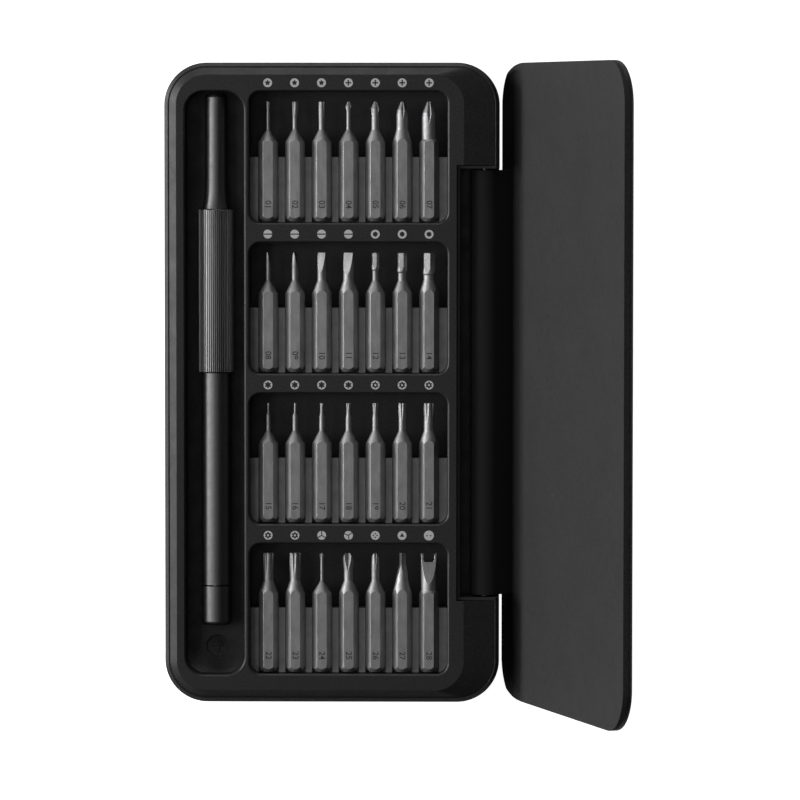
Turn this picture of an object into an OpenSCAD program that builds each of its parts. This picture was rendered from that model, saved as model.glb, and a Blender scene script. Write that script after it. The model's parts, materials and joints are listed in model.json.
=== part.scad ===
// Precision screwdriver set: a flip case, a driver handle with a spinning cap, and 28 bits.
// Frame: the origin is the centre of the case's underside. X runs across the case towards
// the hinge, Y runs along it towards the tips of the tools, and Z is up.
// The lid is modelled shut, and then turned about the hinge pins to its open stop.

/* [Case] */
// Length of the case, along Y
case_l = 150.5; // [150:0.25:152]
// Width of the case, along X
case_w = 78.7; // [78.5:0.1:80]
// Radius of the case's corners in plan
corner_r = 10; // [9.5:0.25:11]
// Height of the lower shell's rim
rim_h = 12.5; // [12.3:0.1:12.6]
// Rounding of the lower shell's bottom edge
bottom_round = 2.4; // [1.5:0.1:2.6]
// Thickness of the lower shell's side walls
wall_t = 1.8; // [1.6:0.1:2]
// Thickness of the lower shell's floor
floor_t = 1.6; // [1.5:0.1:1.7]
// Width of the shell's rim that shows around the tray
lip_w = 1.05; // [0.9:0.05:1.1]

/* [Tray] */
// Height of the raised deck
deck_h = 14; // [13.8:0.1:14]
// Sloped margin from the case's outside to the deck, on three sides
deck_margin = 2.85; // [2.7:0.05:3]
// Sloped margin from the case's outside to the deck, on the hinge side
deck_slope_w = 8.35; // [8.2:0.05:8.5]
// Gap between the tray's flange and the shell
parting_gap = 0.1; // [0.08:0.01:0.12]
// Wall thickness of the tray's pockets
tub_t = 1.2; // [1.1:0.05:1.2]
// Chamfer around each pocket's mouth
mouth_chamfer = 0.35; // [0.2:0.05:0.4]

/* [Handle pocket] */
// Width of the pocket that holds the driver
pocket_w = 13.85; // [13.6:0.05:13.9]
// Length of that pocket
pocket_l = 137.2; // [137:0.1:137.4]
// Height of its floor
pocket_floor = 5.3; // [5.2:0.05:5.4]
// Radius of the finger scoop at its end
scoop_r = 16.8; // [16:0.2:18]
// Radius of the round dimple in the scoop
dimple_r = 2.6; // [2.4:0.05:2.7]

/* [Bit bays] */
// Number of rows of bits
rows = 4; // [4]
// Number of bits in a row
columns = 7; // [7]
// Distance between rows
row_pitch = 35.4; // [35.3:0.05:35.5]
// Distance between the bits of one row
bit_pitch = 6.3; // [6.25:0.05:6.35]
// Width of a bay
bay_w = 46.55; // [46.4:0.05:46.6]
// Length of a bay
bay_l = 30.75; // [30.6:0.05:30.8]
// Height of the finger well's floor
well_floor = 4; // [3.9:0.1:4.1]
// Width of a bit's channel in the rack
channel_w = 4.76; // [4.74:0.01:4.8]

/* [Bits] */
// Width of the hexagonal shank across its flats
hex_af = 4; // [4]
// Length of a bit
bit_l = 28; // [28]
// Length of the hexagonal part of the shank
shank_l = 18.4; // [18:0.1:19]

/* [Driver] */
// Distance from the driver's nose to the end of its cap
driver_l = 125.4; // [125:0.1:126]
// Diameter of the plain nose
nose_d = 5.3; // [5.2:0.1:5.5]
// Diameter of the fluted grip
grip_d = 8.2; // [8:0.1:8.2]
// Diameter of the barrel behind the grip, and of the cap
barrel_d = 7.1; // [7:0.1:7.3]
// Number of flutes around the grip
flutes = 52; // [48:2:56]

/* [Hinge and lid] */
// Angle that the lid opens to, where it meets its stop
open_angle = 108.7; // [90:0.1:108.7]
// Thickness of the lid
lid_t = 2.4; // [2.3:0.1:2.5]
// Height of the hinge pins' axis
pivot_h = 7.19; // [7.1:0.01:7.2]
// Distance of the hinge pins' axis from the case's side
pivot_in = 3.44; // [3.4:0.01:3.44]
// Length of the hinge arm between its two pins
arm_l = 100.1; // [99:0.1:100.2]
// Radius of a hinge pin
pin_r = 1; // [0.9:0.05:1.1]

/* [Hidden] */
half_l = case_l / 2;
half_w = case_w / 2;

// Shell: the hinge notch, and the walls around it
notch_end = arm_l / 2 + 0.4;
notch_x = half_w - 9.25;
notch_floor = 2;
notch_wall = 0.8;
notch_lip = 0.68;
ledge_z = 11.3;
rim_slope = 0.8;
edge_break = 0.1;
boss_r = 2.6;
boss_l = 4.5;

// Screws that hold the tray to the shell, in the webs between the bays
screw_x = 18.5;
screw_r = 1;
screw_head_r = 1.9;
screw_l = 8;
screw_fit = 0.15;
screw_slot = [2, 0.4, 0.8];
screw_seat = 0.2;
screw_taper = 1;
pad_r = 3;
pad_top = 2.6;
post_r = 2.3;

// Tray outline inside the shell's rim
tray_edge = lip_w + parting_gap;
deck_left = -half_w + deck_margin;
deck_right = half_w - deck_slope_w;
deck_end = half_l - deck_margin;
deck_corner_r = 7;

// Pockets
pocket_x = -27.47;
pocket_y = -0.1;
pocket_corner_r = 4.5;
scoop_y = -57.6;
dimple_y = -62.6;
dimple_depth = 0.45;
arrow_h = 0.22;
handle_magnet_y = 30;
handle_magnet_r = 4;
handle_magnet_h = 2;
bay_x = 3.92;
bay_corner_r = 2.6;
step_z = 6.6;
step_t = 1;

// Bits and racks
bit_z = 11;
rack_gap = 0.1;
rack_top = 11;
channel_floor = bit_z - hex_af / 2 - 0.05;
tail_y = -15;
rack_magnet_w = 5;
rack_magnet_h = 1.5;
rack_magnet_in = 2;
hex_r = hex_af / sqrt(3);
tail_chamfer = 0.75;
neck_y = shank_l;
long_cone_l = 3.1;
short_cone_l = 0.8;
wide_neck_r = 1.6;

// Driver
driver_x = -27.3;
driver_z = 9.5;
nose_y = 68.2;
grip_y = 41;
grip_end_y = 2.4;
cap_y = -47.6;
cap_end_y = nose_y - driver_l;
cap_gap = 0.35;
bore_r = 2.6;
socket_af = 4.1;
socket_l = 14;
bit_magnet_r = 1.95;
bit_magnet_l = 2;
spigot_l = 9;
bearing_l = 3;
flute_depth = 0.14;
grip_chamfer = 0.3;
spindle_r = 1.2;
spindle_fit = 0.05;

// Hinge and lid, in the shut position
pivot_x = half_w - pivot_in;
lid_z = deck_h + 0.2;
liner_t = 1;
arm_root_x = 35.6;
pin_l = 8;
pin_fit = 0.04;
lid_wall_z = 12.65;
lid_fillet_r = 1.95;
lid_wall_t = 0.5;
lid_wall_fade = [3, 9];
lid_round = 0.7;
lid_magnet = [1.8, 12, 0.8];
lid_magnet_x = deck_left - 1;
lid_magnet_y = 40;

// Rows and columns from the driver's side, and from the tips' end
function row_y(row) = ((rows - 1) / 2 - row) * row_pitch;
function bit_x(column) = bay_x + (column - (columns - 1) / 2) * bit_pitch;

// Each bit: its node's name, its tip's kind and size across, the radius of its neck, and the
// turn of its tip about its own axis
BITS = [
  ["bit_five_lobe_2", "lobe5", 0.75, 0.43, 0],
  ["bit_five_lobe_5", "lobe5", 1.35, 0.6, 40],
  ["bit_five_lobe_6", "lobe5", 1.5, 0.74, 10],
  ["bit_cross_000", "cross", 1.4, 0.54, 30],
  ["bit_cross_00", "cross", 2.1, 0.95, 30],
  ["bit_cross_0", "cross", 2.4, 1.4, 5],
  ["bit_cross_1", "cross", 3.2, 1.74, 0],
  ["bit_slot_1_5", "slot", 1.1, 0.55, 65],
  ["bit_slot_2_0", "slot", 1.5, 0.8, 65],
  ["bit_slot_2_5", "slot", 1.9, 1.07, -22],
  ["bit_slot_3_0", "slot", 2.3, 1.3, -22],
  ["bit_hex_1_5", "hex", 1.5, 0.75, -13],
  ["bit_hex_2_0", "hex", 2.0, 1.0, -15],
  ["bit_hex_2_5", "hex", 2.5, 1.34, -20],
  ["bit_six_lobe_1", "lobe6", 0.5, 0.54, 0],
  ["bit_six_lobe_2", "lobe6", 0.62, 0.65, 0],
  ["bit_six_lobe_3", "lobe6", 0.9, 0.67, 15],
  ["bit_six_lobe_4", "lobe6", 1.15, 0.74, 15],
  ["bit_six_lobe_5_hollow", "lobe6_hollow", 1.3, 0.76, 10],
  ["bit_six_lobe_6_hollow", "lobe6_hollow", 1.7, 0.86, 25],
  ["bit_six_lobe_8_hollow", "lobe6_hollow", 2.35, 1.24, 10],
  ["bit_six_lobe_9_hollow", "lobe6_hollow", 2.45, 1.2, 15],
  ["bit_six_lobe_10_hollow", "lobe6_hollow", 2.6, 1.3, 20],
  ["bit_three_wing_small", "wing3", 1.1, 0.4, 0],
  ["bit_three_wing_large", "wing3", 2.8, 1.15, 20],
  ["bit_four_lobe", "wing4", 1.75, 0.97, 0],
  ["bit_triangle", "triangle", 1.9, 1.5, -15],
  ["bit_fork", "fork", 3.8, 1.88, 0]
];

$fn = 96;

// ---------- Shared shapes ----------

// Rectangle with round corners, centred
module round_rect(w, l, r) {
  square([w - 2 * r, l], center = true);
  square([w, l - 2 * r], center = true);
  for (x = [-1, 1])
    for (y = [-1, 1])
      translate([x * (w / 2 - r), y * (l / 2 - r)])
        circle(r);
}

// Round-cornered plate from z0 to z1
module plate(w, l, r, z0, z1) {
  translate([0, 0, z0])
    linear_extrude(z1 - z0)
      round_rect(w, l, r);
}

// Half of a slab's section: x outwards, y up, with rounded lower and upper edges
module slab_section(half, h, low_r, high_r) {
  inner = max(low_r, high_r);
  square([half - inner, h]);
  translate([0, low_r])
    square([half, h - low_r - high_r]);
  translate([half - low_r, low_r])
    circle(low_r);
  translate([half - high_r, h - high_r])
    circle(high_r);
  translate([half - inner, 0])
    square([inner - low_r, low_r]);
  translate([half - inner, h - high_r])
    square([inner - high_r, high_r]);
}

// Round-cornered slab with rounded lower and upper edges, standing on z = 0
module slab(w, l, r, h, low_r, high_r) {
  hull()
    for (x = [-1, 1])
      for (y = [-1, 1])
        translate([x * (w / 2 - r), y * (l / 2 - r), 0])
          rotate_extrude($fn = 64)
            slab_section(r, h, low_r, high_r, $fn = 32);
}

// A solid bar along Y, centred on x = 0 and y = 0
module rod_y(r, l) {
  rotate([90, 0, 0])
    cylinder(h = l, r = r, center = true);
}

// Turns a solid of revolution drawn as (radius, distance) so that distance runs along -Y
module along_driver() {
  translate([driver_x, 0, driver_z])
    rotate([90, 0, 0])
      children();
}

// ---------- Case ----------

// The four screw positions
module at_screws() {
  for (x = [-1, 1])
    for (y = [-1, 1])
      translate([bay_x + x * screw_x, y * row_pitch, 0])
        children();
}

// The block that the hinge notch takes out of the shell, grown by a margin
module notch_block(margin, z0) {
  translate([notch_x - margin, -notch_end - margin, z0])
    cube([half_w, 2 * (notch_end + margin), 2 * deck_h]);
}

// Space inside the shell, below the tray's flange
module shell_cavity() {
  difference() {
    plate(case_w - 2 * wall_t, case_l - 2 * wall_t, corner_r - wall_t, floor_t, rim_h + 1);
    notch_block(notch_wall, 0);
  }
}

// Seat for the tray's flange
module flange_seat() {
  difference() {
    plate(case_w - 2 * lip_w, case_l - 2 * lip_w, corner_r - lip_w, ledge_z, rim_h + 1);
    notch_block(notch_lip, 0);
  }
}

// Outside of the shell: rounded below, and sloping inwards around the rim
module shell_body() {
  slope_z = rim_h - rim_slope;
  slab(case_w, case_l, corner_r, slope_z, bottom_round, edge_break);
  hull() {
    plate(case_w, case_l, corner_r, slope_z - 0.5, slope_z);
    plate(case_w - 2 * rim_slope, case_l - 2 * rim_slope, corner_r - rim_slope,
      slope_z, rim_h);
  }
}

module bottom_shell() {
  color([0.07, 0.07, 0.08])
    difference() {
      union() {
        difference() {
          shell_body();
          shell_cavity();
          flange_seat();
        }
        // Bosses that hold the hinge pins
        for (y = [-1, 1])
          translate([pivot_x, y * (notch_end + boss_l / 2), pivot_h])
            rod_y(boss_r, boss_l);
        // Webs that stand the bosses on the floor
        for (y = [-1, 1])
          translate([pivot_x - boss_r, y * (notch_end + boss_l / 2) - boss_l / 2, floor_t / 2])
            cube([2 * boss_r, boss_l, pivot_h - floor_t / 2]);
        // Pads around the screws
        at_screws()
          translate([0, 0, floor_t / 2])
            cylinder(h = pad_top - floor_t / 2, r = pad_r);
      }
      notch_block(0, notch_floor);
      // Pin holes
      for (y = [-1, 1])
        translate([pivot_x, y * (notch_end + pin_l / 4), pivot_h])
          rod_y(pin_r, pin_l / 2 + 0.02);
      // Screw holes, with a countersink
      at_screws() {
        translate([0, 0, -1])
          cylinder(h = pad_top + 2, r = screw_r + screw_fit);
        translate([0, 0, -0.01])
          cylinder(h = screw_seat + 0.01, r = screw_head_r + screw_fit);
        translate([0, 0, screw_seat])
          cylinder(h = screw_taper, r1 = screw_head_r + screw_fit, r2 = screw_r + screw_fit);
      }
    }
}

// Countersunk screw with a cross recess, head down
module screw() {
  difference() {
    union() {
      translate([0, 0, screw_seat])
        cylinder(h = screw_taper, r1 = screw_head_r, r2 = screw_r);
      translate([0, 0, screw_seat + screw_taper])
        cylinder(h = screw_l - screw_taper, r = screw_r);
    }
    for (a = [0, 90])
      rotate(a)
        translate([-screw_slot[0] / 2, -screw_slot[1] / 2, 0])
          cube(screw_slot);
  }
}

module shell_screws() {
  color([0.55, 0.55, 0.57])
    at_screws()
      screw();
}

// Raised deck with its sloped margins
module deck() {
  hull() {
    plate(case_w - 2 * tray_edge, case_l - 2 * tray_edge, corner_r - tray_edge,
      rim_h - 0.2, rim_h);
    translate([(deck_left + deck_right) / 2, 0, 0])
      plate(deck_right - deck_left, 2 * deck_end, deck_corner_r, deck_h - 0.02, deck_h);
  }
}

// Pocket from z0 up through the deck, with a chamfered mouth
module pocket(w, l, r, z0) {
  plate(w, l, r, z0, deck_h + 1);
  hull() {
    plate(w, l, r, deck_h - mouth_chamfer, deck_h);
    plate(w + 2 * mouth_chamfer, l + 2 * mouth_chamfer, r + mouth_chamfer,
      deck_h, deck_h + 0.1);
  }
}

// Space of the finger scoop: everything above its curved floor
module scoop_space() {
  translate([pocket_x, scoop_y, pocket_floor + scoop_r])
    rotate([0, 90, 0])
      cylinder(h = pocket_w, r = scoop_r, center = true, $fn = 128);
}

module handle_pocket() {
  translate([pocket_x, pocket_y, 0]) {
    pocket(pocket_w, pocket_l, pocket_corner_r, deck_h - 2);
    plate(pocket_w, pocket_l, pocket_corner_r, pocket_floor + 4, deck_h);
  }
  intersection() {
    translate([pocket_x, pocket_y, 0])
      plate(pocket_w, pocket_l, pocket_corner_r, pocket_floor, deck_h);
    union() {
      scoop_space();
      translate([pocket_x - pocket_w, scoop_y, pocket_floor])
        cube([2 * pocket_w, pocket_l, deck_h]);
    }
  }
}

// Places its children on the scoop's floor at the dimple, with Z along the floor's normal
module at_dimple() {
  tilt = asin((scoop_y - dimple_y) / scoop_r);
  translate([driver_x, dimple_y, pocket_floor + scoop_r * (1 - cos(tilt))])
    rotate([-tilt, 0, 0])
      children();
}

module arrow() {
  shaft_w = 0.8;
  polygon([
    [-shaft_w / 2, -1.5], [shaft_w / 2, -1.5], [shaft_w / 2, 0.1], [1.5, 0.1],
    [0, 1.7], [-1.5, 0.1], [-shaft_w / 2, 0.1]
  ]);
}

module tray() {
  screw_hole_l = screw_seat + screw_l + 0.5 - pad_top;
  color([0.13, 0.13, 0.14])
    difference() {
      union() {
        deck();
        plate(case_w - 2 * tray_edge, case_l - 2 * tray_edge, corner_r - tray_edge,
          ledge_z, rim_h);
        // Walls of the handle pocket
        translate([pocket_x, pocket_y, 0])
          plate(pocket_w + 2 * tub_t, pocket_l + 2 * tub_t, pocket_corner_r + tub_t,
            pocket_floor - tub_t, ledge_z + 0.1);
        // Walls of the bays: deep under the finger wells, shallow under the racks
        for (row = [0 : rows - 1])
          translate([bay_x, row_y(row), 0]) {
            plate(bay_w + 2 * tub_t, bay_l + 2 * tub_t, bay_corner_r + tub_t,
              step_z - step_t, ledge_z + 0.1);
            intersection() {
              plate(bay_w + 2 * tub_t, bay_l + 2 * tub_t, bay_corner_r + tub_t,
                well_floor - step_t, ledge_z);
              translate([-bay_w, -tub_t, 0])
                cube([2 * bay_w, bay_l, deck_h]);
            }
          }
        // Posts for the screws
        at_screws()
          translate([0, 0, pad_top])
            cylinder(h = ledge_z - pad_top + 0.1, r = post_r);
      }
      notch_block(notch_lip + parting_gap, 0);
      handle_pocket();
      for (row = [0 : rows - 1])
        translate([bay_x, row_y(row), 0]) {
          pocket(bay_w, bay_l, bay_corner_r, step_z);
          // Finger well
          intersection() {
            plate(bay_w, bay_l, bay_corner_r, well_floor, deck_h);
            translate([-bay_w, 0, 0])
              cube([2 * bay_w, bay_l, deck_h]);
          }
        }
      at_screws()
        translate([0, 0, pad_top - 1])
          cylinder(h = screw_hole_l + 1, r = screw_r);
      // Dimple with an arrow standing in it
      at_dimple()
        difference() {
          translate([0, 0, -dimple_depth])
            cylinder(h = 2, r = dimple_r);
          translate([0, 0, -dimple_depth - 1])
            linear_extrude(1 + arrow_h)
              arrow();
        }
    }
}

// Soft rack with a channel for each bit, and a slot below for its magnet
module bit_rack(row) {
  w = bay_w - 2 * rack_gap;
  l = bay_l / 2 - rack_gap;
  color([0.27, 0.27, 0.28])
    translate([bay_x, row_y(row), 0])
      difference() {
        intersection() {
          plate(w, bay_l - 2 * rack_gap, bay_corner_r - rack_gap, step_z, rack_top);
          translate([-w, -bay_l, 0])
            cube([2 * w, bay_l, deck_h]);
        }
        for (column = [0 : columns - 1])
          translate([bit_x(column) - bay_x - channel_w / 2, -bay_l, channel_floor])
            cube([channel_w, 2 * bay_l, deck_h]);
        translate([-w / 2 + rack_magnet_in, -l / 2 - rack_magnet_w / 2, step_z - 1])
          cube([w - 2 * rack_magnet_in, rack_magnet_w, 1 + rack_magnet_h]);
      }
}

module bit_rack_1() {
  bit_rack(0);
}

module bit_rack_2() {
  bit_rack(1);
}

module bit_rack_3() {
  bit_rack(2);
}

module bit_rack_4() {
  bit_rack(3);
}

// One bar magnet under each rack
module rack_magnets() {
  w = bay_w - 2 * rack_gap - 2 * rack_magnet_in;
  l = bay_l / 2 - rack_gap;
  color([0.7, 0.7, 0.72])
    for (row = [0 : rows - 1])
      translate([bay_x - w / 2, row_y(row) - l / 2 - rack_magnet_w / 2, step_z])
        cube([w, rack_magnet_w, rack_magnet_h]);
}

// Two discs under the handle pocket hold the driver
module handle_magnets() {
  color([0.7, 0.7, 0.72])
    for (y = [-1, 1])
      translate([driver_x, y * handle_magnet_y, pocket_floor - tub_t - handle_magnet_h])
        cylinder(h = handle_magnet_h, r = handle_magnet_r);
}

// Bars under the deck's free edge draw the lid down
module catch_magnets() {
  color([0.7, 0.7, 0.72])
    for (y = [-1, 1])
      translate([lid_magnet_x, y * lid_magnet_y - lid_magnet[1] / 2, ledge_z - lid_magnet[2]])
        cube(lid_magnet);
}

// ---------- Lid ----------

// Turns the shut lid to its open stop
module opened() {
  translate([pivot_x, 0, pivot_h])
    rotate([0, open_angle, 0])
      translate([-pivot_x, 0, -pivot_h])
        children();
}

// Pockets for the lid's magnets, above the tray's
module lid_magnet_bars(fit) {
  for (y = [-1, 1])
    translate([lid_magnet_x - fit, y * lid_magnet_y - lid_magnet[1] / 2 - fit, lid_z + liner_t])
      cube([lid_magnet[0] + 2 * fit, lid_magnet[1] + 2 * fit, lid_magnet[2] + fit]);
}

module lid_cover() {
  color([0.09, 0.09, 0.1])
    opened()
      difference() {
        translate([0, 0, lid_z + liner_t])
          slab(case_w, case_l, corner_r, lid_t - liner_t, 0.15, lid_round);
        lid_magnet_bars(0.05);
      }
}

module lid_magnets() {
  color([0.7, 0.7, 0.72])
    opened()
      lid_magnet_bars(0);
}

// Section of the hinge arm in x and z: a round barrel blended into the lid
module arm_section() {
  barrel_r = pivot_in;
  reach = norm([arm_root_x - pivot_x, lid_z - pivot_h]);
  lean = atan2(lid_z - pivot_h, arm_root_x - pivot_x);
  touch = lean + acos(barrel_r / reach);
  translate([pivot_x, pivot_h])
    circle(barrel_r);
  polygon([
    [pivot_x, pivot_h],
    [pivot_x + barrel_r, pivot_h],
    [half_w, lid_z + 0.5],
    [arm_root_x, lid_z + 0.5],
    [arm_root_x, lid_z],
    [pivot_x + barrel_r * cos(touch), pivot_h + barrel_r * sin(touch)]
  ]);
}

// Low wall that follows the lid's edge on the hinge side and sinks into the lid around its
// two corners. Its inner side is a fillet.
module lid_wall() {
  intersection() {
    difference() {
      plate(case_w, case_l, corner_r, lid_wall_z, lid_z + 0.1);
      translate([0, 0, lid_z - 2 * lid_fillet_r])
        slab(case_w - 2 * lid_wall_t, case_l - 2 * lid_wall_t, corner_r - lid_wall_t,
          2 * lid_fillet_r, edge_break, lid_fillet_r);
    }
    rotate([90, 0, 0])
      linear_extrude(case_l + 2, center = true)
        polygon([
          [half_w + 1, lid_wall_z - 0.1], [half_w - lid_wall_fade[0], lid_wall_z - 0.1],
          [half_w - lid_wall_fade[1], lid_z - 0.02], [half_w - lid_wall_fade[1], lid_z + 0.2],
          [half_w + 1, lid_z + 0.2]
        ]);
  }
}

module lid_liner() {
  color([0.16, 0.16, 0.17])
    opened()
      difference() {
        union() {
          plate(case_w, case_l, corner_r, lid_z, lid_z + liner_t);
          lid_wall();
          rotate([90, 0, 0])
            linear_extrude(arm_l, center = true)
              arm_section();
        }
        // Pin holes
        for (y = [-1, 1])
          translate([pivot_x, y * (arm_l / 2 - pin_l / 4), pivot_h])
            rod_y(pin_r + pin_fit, pin_l / 2 + 0.4);
      }
}

module hinge_pins() {
  color([0.6, 0.6, 0.62])
    for (y = [-1, 1])
      translate([pivot_x, y * notch_end, pivot_h])
        rod_y(pin_r, pin_l - 0.2);
}

// ---------- Driver ----------

module driver_nose() {
  r = nose_d / 2;
  flare_r = 3.25;
  flare_l = 5.5;
  tip_l = 1.6;
  nose_l = nose_y - grip_y;
  color([0.2, 0.2, 0.21])
    difference() {
      along_driver()
        rotate_extrude()
          difference() {
            union() {
              translate([0, -nose_y])
                polygon(concat(
                  [[0, 0], [r - 0.75, 0], [r - 0.35, 0.5], [r - 0.1, tip_l * 0.65]],
                  [for (t = [0 : 0.125 : 1])
                    [r + (flare_r - r) * t * t, nose_l - flare_l * (1 - t)]],
                  [[0, nose_l]]
                ));
              // Spigot pressed into the barrel
              translate([0, -grip_y])
                square([bore_r, spigot_l]);
            }
          }
      // Hexagonal socket for a bit
      translate([driver_x, nose_y + 1, driver_z])
        rotate([90, 0, 0])
          cylinder(h = socket_l + 1, r = socket_af / sqrt(3), $fn = 6);
    }
}

module driver_bit_magnet() {
  color([0.7, 0.7, 0.72])
    translate([driver_x, nose_y - socket_l, driver_z])
      rotate([-90, 0, 0])
        cylinder(h = bit_magnet_l, r = bit_magnet_r);
}

// Outline of the grip: evenly spaced round-bottomed flutes
module grip_outline() {
  r = grip_d / 2;
  polygon([
    for (i = [0 : flutes - 1])
      for (s = [[-0.28, 0], [-0.12, 1], [0.12, 1], [0.28, 0]])
        let (a = (i + s[0]) * 360 / flutes, d = r - s[1] * flute_depth)
          [d * cos(a), d * sin(a)]
  ]);
}

module driver_barrel() {
  r = barrel_d / 2;
  grip_l = grip_y - grip_end_y;
  grip_r = grip_d / 2 + 0.01;
  c = grip_chamfer;
  // The hollow's narrower middle part
  hollow_l = grip_y - cap_y - spigot_l - 2 * bearing_l - 4;
  color([0.18, 0.18, 0.19])
    difference() {
      along_driver()
        union() {
          // The grip's ends are chamfered
          intersection() {
            translate([0, 0, -grip_y])
              linear_extrude(grip_l)
                grip_outline();
            translate([0, 0, -grip_y])
              rotate_extrude()
                polygon([
                  [0, 0], [grip_r - c, 0], [grip_r, c],
                  [grip_r, grip_l - c], [grip_r - c, grip_l], [0, grip_l]
                ]);
          }
          translate([0, 0, -grip_end_y - 0.1])
            cylinder(h = grip_end_y - cap_y + 0.1, r = r);
        }
      // Bore for the nose's spigot, hollow barrel, and the bearing's seat
      along_driver() {
        translate([0, 0, -grip_y - 1])
          cylinder(h = 1 + spigot_l, r = bore_r);
        translate([0, 0, -grip_y + spigot_l - 0.1])
          cylinder(h = hollow_l, r = bore_r - 0.4);
        translate([0, 0, -cap_y - bearing_l])
          cylinder(h = bearing_l + 1, r = bore_r);
        translate([0, 0, -cap_y - 12])
          cylinder(h = 12, r = spindle_r + 0.6);
      }
    }
}

// Plain bush that the cap's spindle turns in
module driver_bearing() {
  color([0.72, 0.6, 0.3])
    along_driver()
      translate([0, 0, -cap_y - bearing_l])
        difference() {
          cylinder(h = bearing_l, r = bore_r);
          translate([0, 0, -1])
            cylinder(h = bearing_l + 2, r = spindle_r + spindle_fit);
        }
}

// Spinning cap with a rounded end
module driver_cap() {
  r = barrel_d / 2;
  l = cap_y - cap_gap - cap_end_y;
  edge = 1;
  color([0.2, 0.2, 0.21])
    along_driver()
      translate([0, 0, -cap_y + cap_gap])
        difference() {
          rotate_extrude() {
            square([r, l - edge]);
            square([r - edge, l]);
            translate([r - edge, l - edge])
              circle(edge);
          }
          translate([0, 0, -1])
            cylinder(h = 6, r = spindle_r);
        }
}

// Spindle fixed in the cap, with a head that keeps it behind the bush
module driver_cap_spindle() {
  color([0.7, 0.7, 0.72])
    along_driver() {
      translate([0, 0, -cap_y - 3.2])
        cylinder(h = 3.2 + cap_gap + 5, r = spindle_r);
      translate([0, 0, -cap_y - 4.4])
        cylinder(h = 1.2, r = spindle_r + 0.45);
    }
}

// ---------- Bits ----------
// A bit is drawn along +Z from its tail, and then laid along +Y with a flat upwards.

// Hexagonal shank and a cone down to the neck. The profile carries on to the bit's end.
module shank(neck_r, profile) {
  cone_l = neck_r > wide_neck_r ? short_cone_l : long_cone_l;
  intersection() {
    union() {
      cylinder(h = bit_l, r = hex_r, $fn = 6);
      translate([0, 0, neck_y - 1])
        cylinder(h = bit_l - neck_y + 1, r = hex_af / 2 - 0.02);
    }
    rotate_extrude($fn = 64)
      polygon(concat([
        [0, 0], [hex_r - tail_chamfer, 0], [hex_r + 0.01, tail_chamfer * 1.6],
        [hex_r + 0.01, neck_y], [neck_r, neck_y + cone_l]
      ], profile, [[0, bit_l]]));
  }
}

// n cutters around the tip. Each one's floor is at radius core at the bit's end, and leaves
// the metal at radius outer, a distance run from the end. The cutter's section is a child.
module cutters(n, core, outer, run, turn) {
  tilt = atan((outer - core) / run);
  for (i = [0 : n - 1])
    rotate(turn + i * 360 / n)
      translate([core, 0, bit_l])
        rotate([0, -tilt, 0])
          translate([0, 0, -run - 1])
            linear_extrude(run + 1 + outer)
              children();
}

// Section of a V cutter whose point is at the origin
module v_cutter(reach, opening) {
  half = reach * tan(opening / 2);
  polygon([[0, 0], [reach, -half], [reach, half]]);
}

// Star tips: round grooves, which run out on the neck, and a hole in the hollow ones
module lobe_bit(n, size, neck_r, turn, hollow) {
  r = size / 2;
  groove_r = r * (n == 5 ? 0.42 : 0.34);
  run = 2.2 + 1.2 * size;
  difference() {
    shank(neck_r, [
      [neck_r, bit_l - run], [r, bit_l - 0.7 * run], [r, bit_l - 0.1], [r * 0.85, bit_l]
    ]);
    cutters(n, r * 0.72, max(r, neck_r), run, turn)
      translate([groove_r, 0])
        circle(groove_r, $fn = 32);
    if (hollow)
      translate([0, 0, bit_l - 1.2])
        cylinder(h = 2, r = size * 0.16, $fn = 24);
  }
}

// Cross tips: a pointed round bar with four V flutes
module cross_bit(size, neck_r, turn) {
  r = size / 2;
  z0 = bit_l - size * 0.82;
  difference() {
    shank(neck_r, [[neck_r, z0 - 1], [r, z0], [r * 0.32, bit_l]]);
    cutters(4, r * 0.14, max(r, neck_r), 0.4 + 1.5 * size, turn)
      v_cutter(2 * size, 84);
  }
}

// Flat tips: a round neck ground down to a blade from two sides
module slot_bit(size, neck_r, turn) {
  blade_t = 0.16 + size * 0.1;
  ground_l = 2 + size * 1.4;
  z0 = bit_l - ground_l;
  intersection() {
    shank(neck_r, [[neck_r, bit_l - ground_l * 0.8], [size / 2, bit_l]]);
    union() {
      translate([-hex_af, -hex_af, 0])
        cube([2 * hex_af, 2 * hex_af, z0]);
      rotate([90, 0, 90 + turn])
        linear_extrude(2 * hex_af, center = true)
          polygon([
            [-neck_r - 0.02, z0 - 0.01], [neck_r + 0.02, z0 - 0.01],
            [blade_t / 2, bit_l], [-blade_t / 2, bit_l]
          ]);
    }
  }
}

// Hexagonal tips, whose flats run out on the neck
module hex_bit(size, neck_r, turn) {
  corner = size / sqrt(3);
  bar = max(corner, neck_r) + 0.04;
  tip_l = 2.4 + size;
  z1 = bit_l - 0.7 * tip_l;
  run = 0.3 * tip_l;
  intersection() {
    shank(neck_r, [
      [neck_r, z1 - run - 0.4], [bar, z1 - run], [bar, bit_l - 0.2], [size * 0.44, bit_l]
    ]);
    union() {
      cylinder(h = z1 - run + 0.01, r = hex_r + 1);
      translate([0, 0, z1 - run])
        rotate(turn)
          cylinder(h = run + 0.01, r1 = 2 / sqrt(3) * bar + 0.02, r2 = corner, $fn = 6);
      translate([0, 0, z1])
        rotate(turn)
          cylinder(h = bit_l - z1, r = corner, $fn = 6);
    }
  }
}

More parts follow.
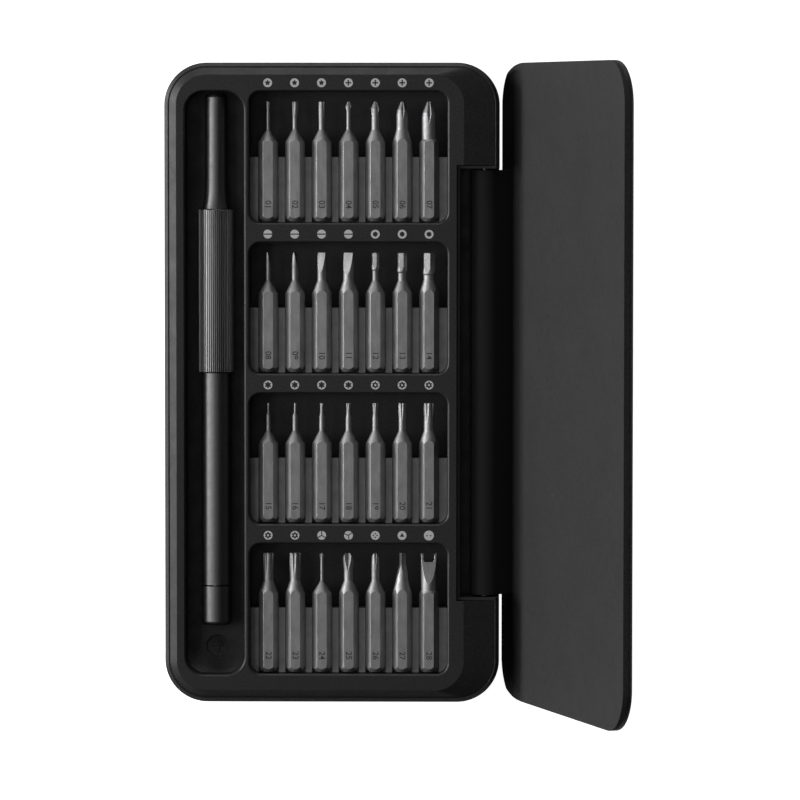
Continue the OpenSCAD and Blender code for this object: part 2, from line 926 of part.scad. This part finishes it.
// Winged tips: a blunt bar with n wide V flutes
module wing_bit(n, size, neck_r, turn) {
  r = size / 2;
  z0 = bit_l - size * 0.5;
  difference() {
    shank(neck_r, [
      [neck_r, z0 - size], [r, z0], [r * 0.86, bit_l - size * 0.16], [r * 0.5, bit_l]
    ]);
    cutters(n, r * 0.16, max(r, neck_r), 1.2 + 1.5 * size, turn)
      v_cutter(2 * size, n == 3 ? 96 : 60);
  }
}

// Three-sided tip that flares out to its neck
module triangle_bit(size, neck_r, turn) {
  tip_l = 2.7;
  flare_l = bit_l - tip_l - neck_y - long_cone_l;
  z0 = bit_l - tip_l - flare_l;
  intersection() {
    shank(neck_r, [[size / 2, bit_l - tip_l], [size / 2, bit_l]]);
    union() {
      cylinder(h = z0 + 0.01, r = hex_r + 1);
      translate([0, 0, z0])
        rotate(turn - 90)
          cylinder(h = flare_l + 0.01, r1 = 2 * neck_r + 0.02, r2 = size / 2, $fn = 3);
      translate([0, 0, bit_l - tip_l])
        rotate(turn - 90)
          cylinder(h = tip_l, r = size / 2, $fn = 3);
    }
  }
}

// Fork: a wide neck ground to a blade, with a gap between two prongs
module fork_bit(size, neck_r) {
  blade_t = 1.1;
  gap = 2.6;
  gap_l = 2.1;
  ground_l = 7.2;
  z0 = bit_l - ground_l;
  difference() {
    intersection() {
      shank(neck_r, [[size / 2 - 0.02, bit_l]]);
      union() {
        translate([-hex_af, -hex_af, 0])
          cube([2 * hex_af, 2 * hex_af, z0]);
        rotate([90, 0, 90])
          linear_extrude(2 * hex_af, center = true)
            polygon([
              [-neck_r - 0.02, z0 - 0.01], [neck_r + 0.02, z0 - 0.01],
              [blade_t / 2, bit_l - 0.4], [blade_t / 4, bit_l],
              [-blade_t / 4, bit_l], [-blade_t / 2, bit_l - 0.4]
            ]);
      }
    }
    rotate([90, 0, 0])
      linear_extrude(2 * hex_af, center = true)
        translate([0, bit_l])
          round_rect(gap, 2 * gap_l, 0.7);
  }
}

module bit(kind, size, neck_r, turn) {
  if (kind == "lobe5")
    lobe_bit(5, size, neck_r, turn, false);
  if (kind == "lobe6")
    lobe_bit(6, size, neck_r, turn, false);
  if (kind == "lobe6_hollow")
    lobe_bit(6, size, neck_r, turn, true);
  if (kind == "cross")
    cross_bit(size, neck_r, turn);
  if (kind == "slot")
    slot_bit(size, neck_r, turn);
  if (kind == "hex")
    hex_bit(size, neck_r, turn);
  if (kind == "wing3")
    wing_bit(3, size, neck_r, turn);
  if (kind == "wing4")
    wing_bit(4, size, neck_r, turn);
  if (kind == "triangle")
    triangle_bit(size, neck_r, turn);
  if (kind == "fork")
    fork_bit(size, neck_r);
}

// Lays bit number i in its channel
module laid_bit(i) {
  row = floor(i / columns);
  column = i % columns;
  color([0.36, 0.36, 0.37])
    translate([bit_x(column), row_y(row) + tail_y, bit_z])
      rotate([-90, 0, 0])
        bit(BITS[i][1], BITS[i][2], BITS[i][3], BITS[i][4]);
}

bottom_shell();
tray();
shell_screws();
bit_rack_1();
bit_rack_2();
bit_rack_3();
bit_rack_4();
rack_magnets();
handle_magnets();
catch_magnets();
lid_cover();
lid_liner();
lid_magnets();
hinge_pins();
driver_nose();
driver_barrel();
driver_bit_magnet();
driver_bearing();
driver_cap();
driver_cap_spindle();
for (i = [0 : len(BITS) - 1])
  laid_bit(i);
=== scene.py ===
import json
import math

import bmesh
import bpy
from mathutils import Euler, Matrix, Vector

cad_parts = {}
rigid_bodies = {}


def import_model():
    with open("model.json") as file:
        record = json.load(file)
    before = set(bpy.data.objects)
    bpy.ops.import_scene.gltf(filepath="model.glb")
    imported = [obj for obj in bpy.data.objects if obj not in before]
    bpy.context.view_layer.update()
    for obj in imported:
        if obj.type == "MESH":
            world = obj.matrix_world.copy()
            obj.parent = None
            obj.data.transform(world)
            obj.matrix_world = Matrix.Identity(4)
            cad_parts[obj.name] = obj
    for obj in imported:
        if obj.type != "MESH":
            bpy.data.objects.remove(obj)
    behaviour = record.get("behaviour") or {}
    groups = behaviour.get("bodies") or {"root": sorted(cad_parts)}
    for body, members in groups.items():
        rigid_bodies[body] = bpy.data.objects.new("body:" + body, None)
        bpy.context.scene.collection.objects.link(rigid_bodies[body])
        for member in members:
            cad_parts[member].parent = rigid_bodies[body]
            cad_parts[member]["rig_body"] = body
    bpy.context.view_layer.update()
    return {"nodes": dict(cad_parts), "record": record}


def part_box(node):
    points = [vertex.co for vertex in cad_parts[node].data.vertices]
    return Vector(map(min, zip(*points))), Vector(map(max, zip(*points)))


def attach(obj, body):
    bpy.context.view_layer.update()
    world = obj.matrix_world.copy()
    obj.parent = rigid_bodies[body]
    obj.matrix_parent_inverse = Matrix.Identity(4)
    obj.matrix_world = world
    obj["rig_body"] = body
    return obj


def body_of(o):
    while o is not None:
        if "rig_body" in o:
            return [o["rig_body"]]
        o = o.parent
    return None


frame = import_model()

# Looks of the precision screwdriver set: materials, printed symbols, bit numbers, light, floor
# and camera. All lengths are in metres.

MM = 0.001
SCENE = bpy.context.scene
NODES = frame["nodes"]


# ---------- Camera ----------
# It hangs over the open case, with a slight lean towards the lid and the tips' end.

RIM_HEIGHT = 12.5 * MM
CAMERA_DISTANCE = 1.1767
CAMERA_TILT = (math.radians(3.22), math.radians(-0.87), math.radians(-0.07))
CAMERA_OFFSET = (-16.0 * MM, 3.9 * MM)
SENSOR = 36.0
FOCAL_RATIO = 6.259
CLIP_START = 0.05


def make_camera():
    """Hangs the camera over the origin, tilted, at a distance from the rim's plane."""
    data = bpy.data.cameras.new("camera")
    data.sensor_width = SENSOR
    data.lens = FOCAL_RATIO * SENSOR
    data.clip_start = CLIP_START
    camera = bpy.data.objects.new("camera", data)
    SCENE.collection.objects.link(camera)
    turn = Euler(CAMERA_TILT, "XYZ").to_matrix().transposed()
    offset = Vector((CAMERA_OFFSET[0], CAMERA_OFFSET[1], -CAMERA_DISTANCE))
    place = turn @ -offset + Vector((0, 0, RIM_HEIGHT))
    camera.matrix_world = Matrix.Translation(place) @ turn.to_4x4()
    SCENE.camera = camera


# ---------- Materials ----------

NOISE_MIDDLE = (0.3, 0.7)
MIX_COLOURS = (6, 7)
MIX_RESULT = 2
BEVEL_SAMPLES = 6
# The painted edge highlight is full where the rounded normal has turned this far, as a dot product
HIGHLIGHT_TURN = 0.9
MASK_FADE = 0.3 * MM


class Shader:
    """A Principled material being built, with short calls for the nodes that all of them share."""

    def __init__(self, name, colour, roughness, metallic=0.0, specular=0.5):
        self.material = bpy.data.materials.new(name)
        self.material.use_nodes = True
        self.tree = self.material.node_tree
        self.shader = self.tree.nodes["Principled BSDF"]
        self.colour = colour
        self.shader.inputs["Base Color"].default_value = (*colour, 1)
        self.shader.inputs["Roughness"].default_value = roughness
        self.shader.inputs["Metallic"].default_value = metallic
        self.shader.inputs["Specular IOR Level"].default_value = specular
        self.where = self.node("ShaderNodeTexCoord").outputs["Object"]
        self.edge = None

    def node(self, kind, **values):
        made = self.tree.nodes.new(kind)
        for key, value in values.items():
            setattr(made, key, value)
        return made

    def link(self, source, target):
        self.tree.links.new(source, target)
        return target.node

    def scaled(self, stretch):
        """Object coordinates stretched by three factors."""
        mapping = self.node("ShaderNodeMapping")
        mapping.inputs["Scale"].default_value = stretch
        self.link(self.where, mapping.inputs["Vector"])
        return mapping.outputs["Vector"]

    def noise(self, size, detail=3.0, stretch=None):
        """Noise whose features are about size across."""
        texture = self.node("ShaderNodeTexNoise")
        texture.inputs["Scale"].default_value = 1.0 / size
        texture.inputs["Detail"].default_value = detail
        where = self.where if stretch is None else self.scaled(stretch)
        self.link(where, texture.inputs["Vector"])
        return texture.outputs["Fac"]

    def spread(self, source, low, high):
        """Maps the middle of a noise onto low to high."""
        ranged = self.node("ShaderNodeMapRange")
        ranged.inputs["From Min"].default_value = NOISE_MIDDLE[0]
        ranged.inputs["From Max"].default_value = NOISE_MIDDLE[1]
        ranged.inputs["To Min"].default_value = low
        ranged.inputs["To Max"].default_value = high
        self.link(source, ranged.inputs["Value"])
        return ranged.outputs["Result"]

    def mix(self, factor, first, second):
        """A colour between two, which may be colours or sockets."""
        mixer = self.node("ShaderNodeMix", data_type="RGBA")
        self.link(factor, mixer.inputs["Factor"])
        for value, place in zip((first, second), MIX_COLOURS):
            socket = mixer.inputs[place]
            if isinstance(value, tuple):
                socket.default_value = (*value, 1)
            else:
                self.link(value, socket)
        return mixer.outputs[MIX_RESULT]

    def shade(self, factor):
        """The base colour, times a factor."""
        return tuple(min(1.0, c * factor) for c in self.colour)

    def tone(self, source, low, high):
        """Colour that varies with a noise, from low to high times the base colour."""
        colour = self.mix(self.spread(source, 0, 1), self.shade(low), self.shade(high))
        self.link(colour, self.shader.inputs["Base Color"])
        return colour

    def distance(self, centre):
        """Distance from a line that runs along Y through centre."""
        offset = self.node("ShaderNodeVectorMath", operation="SUBTRACT")
        self.link(self.where, offset.inputs[0])
        offset.inputs[1].default_value = centre
        across = self.node("ShaderNodeVectorMath", operation="MULTIPLY")
        self.link(offset.outputs["Vector"], across.inputs[0])
        across.inputs[1].default_value = (1, 0, 1)
        length = self.node("ShaderNodeVectorMath", operation="LENGTH")
        self.link(across.outputs["Vector"], length.inputs[0])
        return length.outputs["Value"]

    def painted_shade_near(self, colour, centre, radius, factor):
        """The colour, with painted shade near a line that runs along Y through centre."""
        mask = self.node("ShaderNodeMapRange")
        mask.inputs["From Min"].default_value = radius
        mask.inputs["From Max"].default_value = radius + MASK_FADE
        mask.inputs["To Min"].default_value = 1.0
        mask.inputs["To Max"].default_value = 0.0
        self.link(self.distance(centre), mask.inputs["Value"])
        return self.mix(mask.outputs["Result"], colour, self.shade(factor))

    def within(self, centre, radius):
        """1 nearer than radius to that line, and 0 beyond it."""
        near = self.node("ShaderNodeMath", operation="LESS_THAN")
        self.link(self.distance(centre), near.inputs[0])
        near.inputs[1].default_value = radius
        return near.outputs["Value"]

    def rough(self, source, low, high):
        """Roughness that varies with a noise, from low to high."""
        self.link(self.spread(source, low, high), self.shader.inputs["Roughness"])

    def round_edges(self, radius):
        """Rounds the sharp edges in shading and keeps how far the normal was turned there."""
        bevel = self.node("ShaderNodeBevel", samples=BEVEL_SAMPLES)
        bevel.inputs["Radius"].default_value = radius
        self.edge = bevel.outputs["Normal"]
        self.link(self.edge, self.shader.inputs["Normal"])

    def painted_edge_highlight(self, colour, highlight_colour, amount):
        """Mixes a paler colour, a painted highlight, in where the edges are rounded."""
        geometry = self.node("ShaderNodeNewGeometry")
        dot = self.node("ShaderNodeVectorMath", operation="DOT_PRODUCT")
        self.link(self.edge, dot.inputs[0])
        self.link(geometry.outputs["Normal"], dot.inputs[1])
        mask = self.node("ShaderNodeMapRange")
        mask.inputs["From Min"].default_value = 1.0
        mask.inputs["From Max"].default_value = HIGHLIGHT_TURN
        mask.inputs["To Max"].default_value = amount
        self.link(dot.outputs["Value"], mask.inputs["Value"])
        self.link(self.mix(mask.outputs["Result"], colour, highlight_colour), self.shader.inputs["Base Color"])

    def bump(self, source, distance):
        """Adds a bump of that height over the rounded edges."""
        bump = self.node("ShaderNodeBump")
        bump.inputs["Distance"].default_value = distance
        bump.inputs["Strength"].default_value = 1.0
        self.link(source, bump.inputs["Height"])
        if self.edge is not None:
            self.link(self.edge, bump.inputs["Normal"])
        self.edge = bump.outputs["Normal"]
        self.link(self.edge, self.shader.inputs["Normal"])


def moulded_plastic(name, colour, roughness, specular=0.5, grain=0.4 * MM, relief=0.035 * MM,
                    specks=3.2, edge=0.18 * MM, painted_shade_within=None):
    """Matt black plastic from a spark-eroded mould: fine grain, faint flow marks, and a painted
    highlight on the edges.
    """
    made = Shader(name, colour, roughness, specular=specular)
    made.round_edges(edge)
    grain_noise = made.noise(grain, detail=2.0)
    flow_marks = made.noise(14 * MM, detail=4.0)
    base = made.tone(flow_marks, 0.86, 1.1)
    speckled = made.mix(made.spread(grain_noise, 0, 0.8), base, made.shade(specks))
    # Painted shade: the colour is darkened near the hinge's axis, where the arm lies in shadow.
    if painted_shade_within is not None:
        speckled = made.painted_shade_near(speckled, *painted_shade_within)
    # Painted highlight: a paler colour on the rounded edges.
    made.painted_edge_highlight(speckled, made.shade(2.2), 0.6)
    made.rough(made.noise(3 * MM), roughness - 0.05, roughness + 0.05)
    made.bump(grain_noise, relief)
    return made.material


def soft_rubber(name, colour):
    """The racks' soft moulding: paler, very matt, with a fine tooth."""
    made = Shader(name, colour, 0.75)
    made.round_edges(0.15 * MM)
    tooth = made.noise(0.14 * MM, detail=2.0)
    blotches = made.noise(2.5 * MM, detail=4.0)
    made.tone(blotches, 0.85, 1.15)
    made.rough(tooth, 0.68, 0.82)
    made.bump(tooth, 0.006 * MM)
    return made.material


def blasted_steel(name, colour, roughness, edge=0.09 * MM):
    """Bead-blasted tool steel: pitted at the scale of the beads, with a painted highlight on its
    edges.
    """
    made = Shader(name, colour, roughness, metallic=1.0)
    made.round_edges(edge)
    pits = made.noise(0.1 * MM, detail=3.0)
    drawn_marks = made.noise(1.6 * MM, detail=5.0, stretch=(1, 0.35, 1))
    base = made.tone(drawn_marks, 0.86, 1.14)
    # Painted highlight: a paler colour on the rounded edges.
    made.painted_edge_highlight(base, made.shade(2.3), 0.9)
    made.rough(made.noise(0.8 * MM), roughness - 0.05, roughness + 0.07)
    made.bump(pits, 0.006 * MM)
    return made.material


def anodised(name, colour, roughness, edge=0.08 * MM, grip=None):
    """Dark anodised aluminium: bead-blasted, with fine turning lines around the axis. A grip's
    flutes get painted shade at the bottom and a painted highlight on top."""
    made = Shader(name, colour, roughness, metallic=1.0)
    made.round_edges(edge)
    pits = made.noise(0.09 * MM, detail=3.0)
    lathe = made.noise(0.5 * MM, detail=4.0, stretch=(0.05, 3.0, 0.05))
    base = made.tone(lathe, 0.93, 1.07)
    if grip is not None:
        centre, barrel_r, groove_r = grip
        # Painted shade in the flutes' bottoms and a painted highlight on their tops.
        flute_shade_and_highlight = made.mix(made.within(centre, groove_r), made.shade(1.5), made.shade(0.3))
        base = made.mix(made.within(centre, barrel_r), flute_shade_and_highlight, base)
    # Painted highlight: a paler colour on the rounded edges.
    made.painted_edge_highlight(base, made.shade(1.8), 0.6)
    made.rough(made.noise(1.2 * MM), roughness - 0.04, roughness + 0.05)
    made.bump(pits, 0.0055 * MM)
    return made.material


def plated(name, colour, roughness):
    """Small metal pieces: plating over drawn or turned metal."""
    made = Shader(name, colour, roughness, metallic=1.0)
    made.round_edges(0.08 * MM)
    made.tone(made.noise(0.6 * MM, detail=4.0), 0.85, 1.1)
    made.rough(made.noise(0.3 * MM), roughness - 0.06, roughness + 0.08)
    made.bump(made.noise(0.15 * MM), 0.002 * MM)
    return made.material


def etched_steel(name, colour):
    """Laser-etched digits: oxidised metal, darker and rougher than the blasted steel."""
    made = Shader(name, colour, 0.7, metallic=0.6)
    made.tone(made.noise(0.25 * MM, detail=3.0), 0.75, 1.25)
    made.rough(made.noise(0.15 * MM), 0.6, 0.8)
    made.bump(made.noise(0.08 * MM), 0.003 * MM)
    return made.material


def print_ink(name, colour):
    """Pad-printed ink: flat, with slightly uneven cover."""
    made = Shader(name, colour, 0.6)
    made.tone(made.noise(0.35 * MM, detail=3.0), 0.88, 1.06)
    made.rough(made.noise(0.2 * MM), 0.5, 0.7)
    made.bump(made.noise(0.12 * MM), 0.003 * MM)
    return made.material


def middle(node):
    """The middle of a CAD node's box."""
    return sum(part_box(node), Vector()) / 2


# The grip's axis, the radius that only the grip reaches, and the radius of its flutes' bottoms,
# which get painted shade
GRIP_R = 4.1 * MM
GRIP = (middle("driver_barrel"), GRIP_R - 0.4 * MM, GRIP_R - 0.06 * MM)
# The hinge's axis, how far from it the arm reaches, and how dark the arm's painted shade is
ARM_PAINTED_SHADE = (middle("hinge_pins"), 6.9 * MM, 0.85)


def make_materials():
    """Makes one material for each slot, and gives it to the slot's CAD nodes."""
    made = {
        "shell_plastic": moulded_plastic(
            "shell_plastic", (0.009, 0.009, 0.0094), 0.45, specular=0.47),
        "tray_plastic": moulded_plastic(
            "tray_plastic", (0.008, 0.008, 0.0083), 0.48, specular=0.43),
        # The liner gets painted shade over the hinge arm, near the hinge's axis.
        "liner_plastic": moulded_plastic(
            "liner_plastic", (0.026, 0.026, 0.027), 0.62, specular=0.12,
            grain=0.3 * MM, relief=0.002 * MM, specks=2.0, edge=0.28 * MM,
            painted_shade_within=ARM_PAINTED_SHADE),
        "rack_rubber": soft_rubber("rack_rubber", (0.2, 0.2, 0.203)),
        "bit_steel": blasted_steel("bit_steel", (0.35, 0.35, 0.356), 0.54),
        "barrel_metal": anodised(
            "barrel_metal", (0.14, 0.14, 0.143), 0.4, edge=0.03 * MM, grip=GRIP),
        "nose_metal": anodised("nose_metal", (0.16, 0.16, 0.164), 0.4),
        "screw_steel": plated("screw_steel", (0.12, 0.12, 0.125), 0.4),
        "pin_steel": plated("pin_steel", (0.2, 0.2, 0.21), 0.35),
        "magnet": plated("magnet", (0.65, 0.64, 0.62), 0.2),
        "bush_brass": plated("bush_brass", (0.7, 0.5, 0.22), 0.3),
    }
    for row in frame["record"]["subparts"]:
        slots = NODES[row["node"]].data.materials
        slots.clear()
        slots.append(made[row["material_slot"]])


# ---------- Layout of the rows, from the frame ----------

ROWS, COLUMNS = 4, 7
BITS = [s["node"] for s in frame["record"]["subparts"] if s["material_slot"] == "bit_steel"]
DECK_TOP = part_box("tray")[1].z


def row_middle(row):
    """The row's middle, which is the tips' end of its rack."""
    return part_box(f"bit_rack_{row + 1}")[1].y


def column_middle(column):
    return middle(BITS[column]).x


# ---------- Printed symbols ----------

SYMBOL_R = 1.04 * MM
SYMBOL_RISE = 17.4 * MM
INK_THICKNESS = 0.012 * MM

# Proportions of the symbols, as shares of the disc's radius
STAR_HOLE = (0.7, 0.38)
CROSS_HOLE = (0.64, 0.16)
SLOT_GAP = 0.13
HEX_HOLE = 0.6
SIX_HOLE = (0.78, 0.5)
SIX_RING = (0.78, 0.54)
SIX_PIN = 0.24
WING_GAP = 0.11
WING_TURN = math.radians(38)
DOT_RING = 0.42
FOUR_DOT = 0.22
TRIANGLE_HOLE = 0.62
FORK_DISC = 1.12
FORK_DOT = 0.18
FORK_DROP = -0.03


def ring_points(radius, count=48, turn=0.0):
    step = 2 * math.pi / count
    return [Vector((radius * math.cos(turn + i * step), radius * math.sin(turn + i * step)))
            for i in range(count)]


def star_points(outer, inner, points, turn):
    """A star, its first point at the given turn."""
    step = math.pi / points
    made = []
    for i in range(2 * points):
        way = Vector((math.cos(turn + i * step), math.sin(turn + i * step)))
        made.append(way * (inner if i % 2 else outer))
    return made


def lobed_points(outer, inner, lobes, turn=0.0, count=72):
    """A smooth outline with that many lobes."""
    middle, swing = (outer + inner) / 2, (outer - inner) / 2
    made = []
    for i in range(count):
        a = 2 * math.pi * i / count
        radius = middle + swing * math.cos(lobes * (a - turn))
        made.append(Vector((radius * math.cos(a), radius * math.sin(a))))
    return made


def cross_points(arm, half):
    """A plus sign with arms that long and that wide either side."""
    quarter = [Vector((arm, -half)), Vector((arm, half)), Vector((half, half))]
    made = []
    for i in range(4):
        turn = Matrix.Rotation(i * math.pi / 2, 2)
        made += [turn @ p for p in quarter]
    return made


def slice_points(radius, start, end, inset):
    """A slice of a disc, its straight sides moved in by inset."""
    middle, half = (start + end) / 2, (end - start) / 2
    tip = Vector((math.cos(middle), math.sin(middle))) * (inset / math.sin(half))
    trim = math.asin(inset / radius)
    count = 16
    made = [tip]
    for i in range(count + 1):
        a = start + trim + (end - start - 2 * trim) * i / count
        made.append(Vector((radius * math.cos(a), radius * math.sin(a))))
    return made


def moved(points, x, y):
    return [p + Vector((x, y)) for p in points]


def divided_disc(radius, parts, turn, gap):
    """A disc cut into equal slices, the first one starting at the given turn."""
    step = 2 * math.pi / parts
    return [slice_points(radius, turn + i * step, turn + (i + 1) * step, gap) for i in range(parts)]


def symbol(kind):
    """The outlines of one symbol: an outer ring and its holes, or the slices of a divided disc."""
    r = SYMBOL_R
    disc = ring_points(r)
    up = math.pi / 2
    if kind == "five":
        return [disc, star_points(STAR_HOLE[0] * r, STAR_HOLE[1] * r, 5, up)]
    if kind == "cross":
        return [disc, cross_points(CROSS_HOLE[0] * r, CROSS_HOLE[1] * r)]
    if kind == "slot":
        return divided_disc(r, 2, 0.0, SLOT_GAP * r)
    if kind == "hex":
        return [disc, ring_points(HEX_HOLE * r, 6, up)]
    if kind == "six":
        return [disc, lobed_points(SIX_HOLE[0] * r, SIX_HOLE[1] * r, 6, up)]
    if kind == "six_hollow":
        ring = lobed_points(SIX_RING[0] * r, SIX_RING[1] * r, 6, up)
        return [disc, ring, ring_points(SIX_PIN * r, 20)]
    if kind == "wing_up":
        return divided_disc(r, 3, up, WING_GAP * r)
    if kind == "wing_down":
        return divided_disc(r, 3, WING_TURN, WING_GAP * r)
    if kind == "four":
        dot = ring_points(FOUR_DOT * r, 4)
        places = ((1, 0), (0, 1), (-1, 0), (0, -1))
        return [disc] + [moved(dot, DOT_RING * r * x, DOT_RING * r * y) for x, y in places]
    if kind == "triangle":
        return [disc, ring_points(TRIANGLE_HOLE * r, 3, up)]
    disc = ring_points(FORK_DISC * r)
    dot = ring_points(FORK_DOT * r, 16)
    return [disc] + [moved(dot, DOT_RING * r * x, FORK_DROP * r) for x in (-1, 1)]


SYMBOLS = [
    ["five"] * 3 + ["cross"] * 4,
    ["slot"] * 4 + ["hex"] * 3,
    ["six"] * 4 + ["six_hollow"] * 3,
    ["six_hollow"] * 2 + ["wing_up", "wing_down", "four", "triangle", "fork"],
]


WELD_DISTANCE = 1e-7


def flat_shape(name, outlines, thickness):
    """A thin printed shape from closed outlines, with holes where one lies inside another."""
    curve = bpy.data.curves.new(name, "CURVE")
    curve.dimensions = "2D"
    curve.fill_mode = "BOTH"
    curve.extrude = thickness / 2
    for outline in outlines:
        spline = curve.splines.new("POLY")
        spline.points.add(len(outline) - 1)
        for point, place in zip(spline.points, outline):
            point.co = (place.x, place.y, 0, 1)
        spline.use_cyclic_u = True
    return as_mesh(name, curve)


def as_mesh(name, curve):
    """Turns curve or text data into a mesh object, and removes the curve."""
    drawn = bpy.data.objects.new(name + "_drawn", curve)
    SCENE.collection.objects.link(drawn)
    bpy.context.view_layer.update()
    graph = bpy.context.evaluated_depsgraph_get()
    mesh = bpy.data.meshes.new_from_object(drawn.evaluated_get(graph))
    bpy.data.objects.remove(drawn)
    mesh.name = name
    made = bpy.data.objects.new(name, mesh)
    SCENE.collection.objects.link(made)
    work = bmesh.new()
    work.from_mesh(mesh)
    bmesh.ops.remove_doubles(work, verts=work.verts, dist=WELD_DISTANCE)
    bmesh.ops.recalc_face_normals(work, faces=work.faces)
    work.to_mesh(mesh)
    work.free()
    return made


def print_symbols(ink):
    """Prints a symbol on the deck past the tip of each bit."""
    for row in range(ROWS):
        y = row_middle(row) + SYMBOL_RISE
        for column in range(COLUMNS):
            kind = SYMBOLS[row][column]
            made = flat_shape(f"symbol_{row + 1}_{column + 1}", symbol(kind), INK_THICKNESS)
            made.location = (column_middle(column), y, DECK_TOP + INK_THICKNESS / 2)
            made.data.materials.append(ink)
            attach(made, "case")


# ---------- Bit numbers ----------

NUMBER_SIZE = 1.95 * MM
NUMBER_RISE = 3.9 * MM
SHANK_FLAT = 4.0 * MM
NUMBER_BOLDER = 0.02 * MM
ETCH_THICKNESS = 0.008 * MM


def number_shape(name, digits):
    """The digits as a thin flat mesh, centred, reading along +X."""
    text = bpy.data.curves.new(name, "FONT")
    text.body = digits
    text.size = NUMBER_SIZE
    text.align_x = "CENTER"
    text.align_y = "CENTER"
    text.extrude = ETCH_THICKNESS / 2
    text.offset = NUMBER_BOLDER
    return as_mesh(name, text)


def etch_numbers(etched):
    """Numbers each bit on its upper flat, near the tail, reading towards the tail."""
    for i, node in enumerate(BITS):
        digits = f"{i + 1:02d}"
        made = number_shape(f"number_{digits}", digits)
        made.rotation_euler.z = -math.pi / 2
        axis = middle(node)
        tail_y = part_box(node)[0].y
        flat_z = axis.z + SHANK_FLAT / 2
        made.location = (axis.x, tail_y + NUMBER_RISE, flat_z + ETCH_THICKNESS / 2)
        made.data.materials.append(etched)
        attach(made, body_of(NODES[node])[0])


# ---------- Light and floor ----------

LIGHT_DISTANCE = 1.2
# Each soft box: name, azimuth and elevation in degrees as seen from the case, width and height,
# and radiance. Azimuth 0 is the lid's side and 90 is the tips' end.
SOFT_BOXES = [
    ("left_low", 168, 13, (0.7, 0.4), 13.5),
    ("left_middle", 176, 36, (0.6, 0.4), 4.2),
    ("left_high", 175, 60, (0.5, 0.4), 2.6),
    ("tips_low", 92, 13, (0.6, 0.35), 4.2),
    ("tips_high", 118, 44, (0.4, 0.3), 1.8),
    ("overhead", 120, 87, (0.6, 0.5), 0.5),
    ("right_fill", 45, 42, (0.5, 0.4), 0.18),
    ("lid_side", 4, 14, (0.6, 0.35), 2.5),
]
WORLD_STRENGTH = 0.02


def soft_box(name, azimuth, elevation, size, radiance):
    data = bpy.data.lights.new(name, "AREA")
    data.shape = "RECTANGLE"
    data.size, data.size_y = size
    data.energy = math.pi * size[0] * size[1] * radiance
    light = bpy.data.objects.new(name, data)
    SCENE.collection.objects.link(light)
    a, e = math.radians(azimuth), math.radians(elevation)
    way = Vector((math.cos(a) * math.cos(e), math.sin(a) * math.cos(e), math.sin(e)))
    place = way * LIGHT_DISTANCE
    light.location = place
    light.rotation_euler = (-place).to_track_quat("-Z", "Y").to_euler()


def make_light():
    for row in SOFT_BOXES:
        soft_box(*row)
    world = bpy.data.worlds.new("studio")
    world.use_nodes = True
    background = world.node_tree.nodes["Background"]
    background.inputs["Color"].default_value = (1, 1, 1, 1)
    background.inputs["Strength"].default_value = WORLD_STRENGTH
    SCENE.world = world
    SCENE.view_settings.view_transform = "Standard"


FLOOR_HALF = 1.6
FLOOR_GAP = 0.02 * MM
FLOOR_GLOW = 0.95
FLOOR_CLOUDS = 0.4


def make_floor():
    """A plain pale floor, just below the case. Its glow, which whitens the background, is for the
    camera only."""
    half = FLOOR_HALF
    mesh = bpy.data.meshes.new("floor")
    corners = [(-half, -half, 0), (half, -half, 0), (half, half, 0), (-half, half, 0)]
    mesh.from_pydata(corners, [], [(0, 1, 2, 3)])
    floor = bpy.data.objects.new("floor", mesh)
    floor.location.z = -FLOOR_GAP
    floor.visible_diffuse = False
    SCENE.collection.objects.link(floor)
    made = Shader("floor", (0.9, 0.9, 0.9), 0.8, specular=0.1)
    made.tone(made.noise(FLOOR_CLOUDS), 0.98, 1.02)
    made.shader.inputs["Emission Color"].default_value = (1, 1, 1, 1)
    path = made.node("ShaderNodeLightPath")
    glow = made.node("ShaderNodeMath", operation="MULTIPLY")
    made.link(path.outputs["Is Camera Ray"], glow.inputs[0])
    glow.inputs[1].default_value = FLOOR_GLOW
    made.link(glow.outputs["Value"], made.shader.inputs["Emission Strength"])
    mesh.materials.append(made.material)


make_camera()
make_materials()
print_symbols(print_ink("print_ink", (0.6, 0.6, 0.6)))
etch_numbers(etched_steel("etched_steel", (0.07, 0.07, 0.07)))
make_floor()
make_light()
